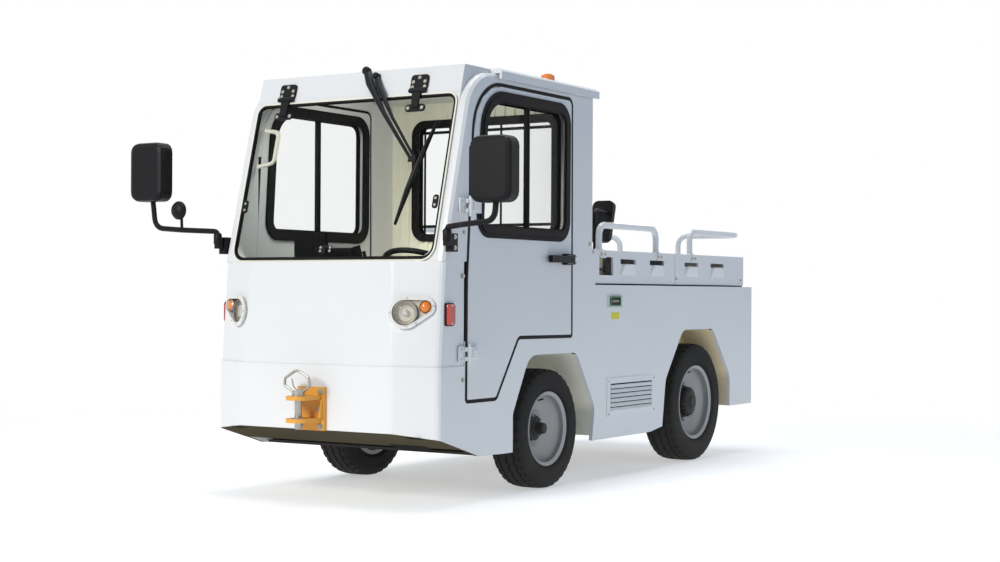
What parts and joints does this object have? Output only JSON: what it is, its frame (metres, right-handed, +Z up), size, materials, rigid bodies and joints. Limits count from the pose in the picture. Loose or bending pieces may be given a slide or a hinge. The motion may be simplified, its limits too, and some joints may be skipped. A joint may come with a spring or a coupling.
{
  "type": "airport baggage tug",
  "caption": "White electric baggage tug with an enclosed cab, hinged doors, steered front wheels, lift-up covers with rails on the rear deck and a drawbar jaw at each end.",
  "frame": {"origin": "on the ground under the middle of the bounding box", "axes": "+Z up, -Y forwards, +X to the vehicle's left"},
  "size_m": [2.144, 3.7626, 2.05],
  "materials": {
    "body_paint": "white gloss paint",
    "door_paint": "white gloss paint",
    "cab_trim": "cream satin paint",
    "arch_cream": "cream undercoat",
    "chassis_black": "black chassis paint",
    "glass": "green-grey tinted",
    "hitch_yellow": "orange-yellow paint",
    "steel": "zinc plated",
    "rim_silver": "silver paint",
    "tyre": "rubber",
    "black_plastic": "moulded black",
    "seat_cover": "black vinyl",
    "lamp": "white bezel",
    "beacon_orange": "orange lens",
    "battery": "dark grey paint"
  },
  "bodies": {
    "tug_body": {"chassis_frame": "chassis_black", "front_axle": "chassis_black", "rear_axle": "chassis_black", "drive_motor": "battery", "battery_block": "battery", "front_apron": "body_paint", "front_panel": "body_paint", "tail_panel": "body_paint", "deck_frame": "arch_cream", "cab_floor": "cab_trim", "windscreen_surround": "body_paint", "windscreen_glass": "glass", "header_panel": "body_paint", "roof": "body_paint", "cab_rear_wall": "cab_trim", "rear_window_glass": "glass", "rear_window_guard": "black_plastic", "dashboard": "black_plastic", "steering_column": "black_plastic", "driver_seat": "seat_cover", "beacon": "beacon_orange", "wiper": "black_plastic", "front_hitch": "hitch_yellow", "front_hitch_pin": "steel", "rear_hitch": "hitch_yellow", "rear_hitch_pin": "steel", "body_side_left": "body_paint", "headlight_left": "lamp", "cab_side_frame_left": "body_paint", "mirror_left": "black_plastic", "body_side_right": "body_paint", "headlight_right": "lamp", "cab_side_frame_right": "body_paint", "mirror_right": "black_plastic"},
    "knuckle_body_left": {"steering_knuckle_left": "chassis_black"},
    "door_body_left": {"door_left": "door_paint", "door_glass_left": "glass"},
    "wheel_front_left": {"tyre_front_left": "tyre", "rim_front_left": "rim_silver"},
    "wheel_rear_left": {"tyre_rear_left": "tyre", "rim_rear_left": "rim_silver"},
    "knuckle_body_right": {"steering_knuckle_right": "chassis_black"},
    "door_body_right": {"door_right": "door_paint", "door_glass_right": "glass"},
    "wheel_front_right": {"tyre_front_right": "tyre", "rim_front_right": "rim_silver"},
    "wheel_rear_right": {"tyre_rear_right": "tyre", "rim_rear_right": "rim_silver"},
    "steering_wheel_body": {"steering_wheel": "black_plastic"},
    "cover_front_body": {"deck_cover_front": "body_paint", "deck_mirror": "black_plastic"},
    "cover_rear_body": {"deck_cover_rear": "body_paint"}
  },
  "joints": [
    {"name": "steer_left", "type": "hinge", "parent": "tug_body", "child": "knuckle_body_left", "pos_m": [0.43, -0.656, 0.29], "axis": [0, 0, 1], "range_deg": [-32, 32]},
    {"name": "steer_right", "type": "hinge", "parent": "tug_body", "child": "knuckle_body_right", "pos_m": [-0.43, -0.656, 0.29], "axis": [0, 0, 1], "range_deg": [-32, 32]},
    {"name": "wheel_front_left_spin", "type": "hinge", "parent": "knuckle_body_left", "child": "wheel_front_left", "pos_m": [0.52, -0.656, 0.29], "axis": [1, 0, 0], "continuous": true},
    {"name": "wheel_rear_left_spin", "type": "hinge", "parent": "tug_body", "child": "wheel_rear_left", "pos_m": [0.512, 1.007, 0.332], "axis": [1, 0, 0], "continuous": true},
    {"name": "door_left_swing", "type": "hinge", "parent": "tug_body", "child": "door_body_left", "pos_m": [0.652, -1.438, 0.457], "axis": [0, 0, -1], "range_deg": [0, 80]},
    {"name": "wheel_front_right_spin", "type": "hinge", "parent": "knuckle_body_right", "child": "wheel_front_right", "pos_m": [-0.52, -0.656, 0.29], "axis": [1, 0, 0], "continuous": true},
    {"name": "wheel_rear_right_spin", "type": "hinge", "parent": "tug_body", "child": "wheel_rear_right", "pos_m": [-0.512, 1.007, 0.332], "axis": [1, 0, 0], "continuous": true},
    {"name": "door_right_swing", "type": "hinge", "parent": "tug_body", "child": "door_body_right", "pos_m": [-0.652, -1.438, 0.457], "axis": [0, 0, 1], "range_deg": [0, 80]},
    {"name": "steering_wheel_turn", "type": "hinge", "parent": "tug_body", "child": "steering_wheel_body", "pos_m": [0.28, -1.263, 1.06], "axis": [0, 0.4294, 0.9031], "range_deg": [-450, 450]},
    {"name": "cover_front_lift", "type": "hinge", "parent": "tug_body", "child": "cover_front_body", "pos_m": [-0.633, 0.2285, 0.998], "axis": [0, -1, 0], "range_deg": [0, 70]},
    {"name": "cover_rear_lift", "type": "hinge", "parent": "tug_body", "child": "cover_rear_body", "pos_m": [-0.633, 1.159, 0.998], "axis": [0, -1, 0], "range_deg": [0, 70]}
  ],
  "couplings": [
    {"joint": "steer_right", "follows": "steer_left", "ratio": 1},
    {"joint": "steering_wheel_turn", "follows": "steer_left", "ratio": 14.062}
  ]
}
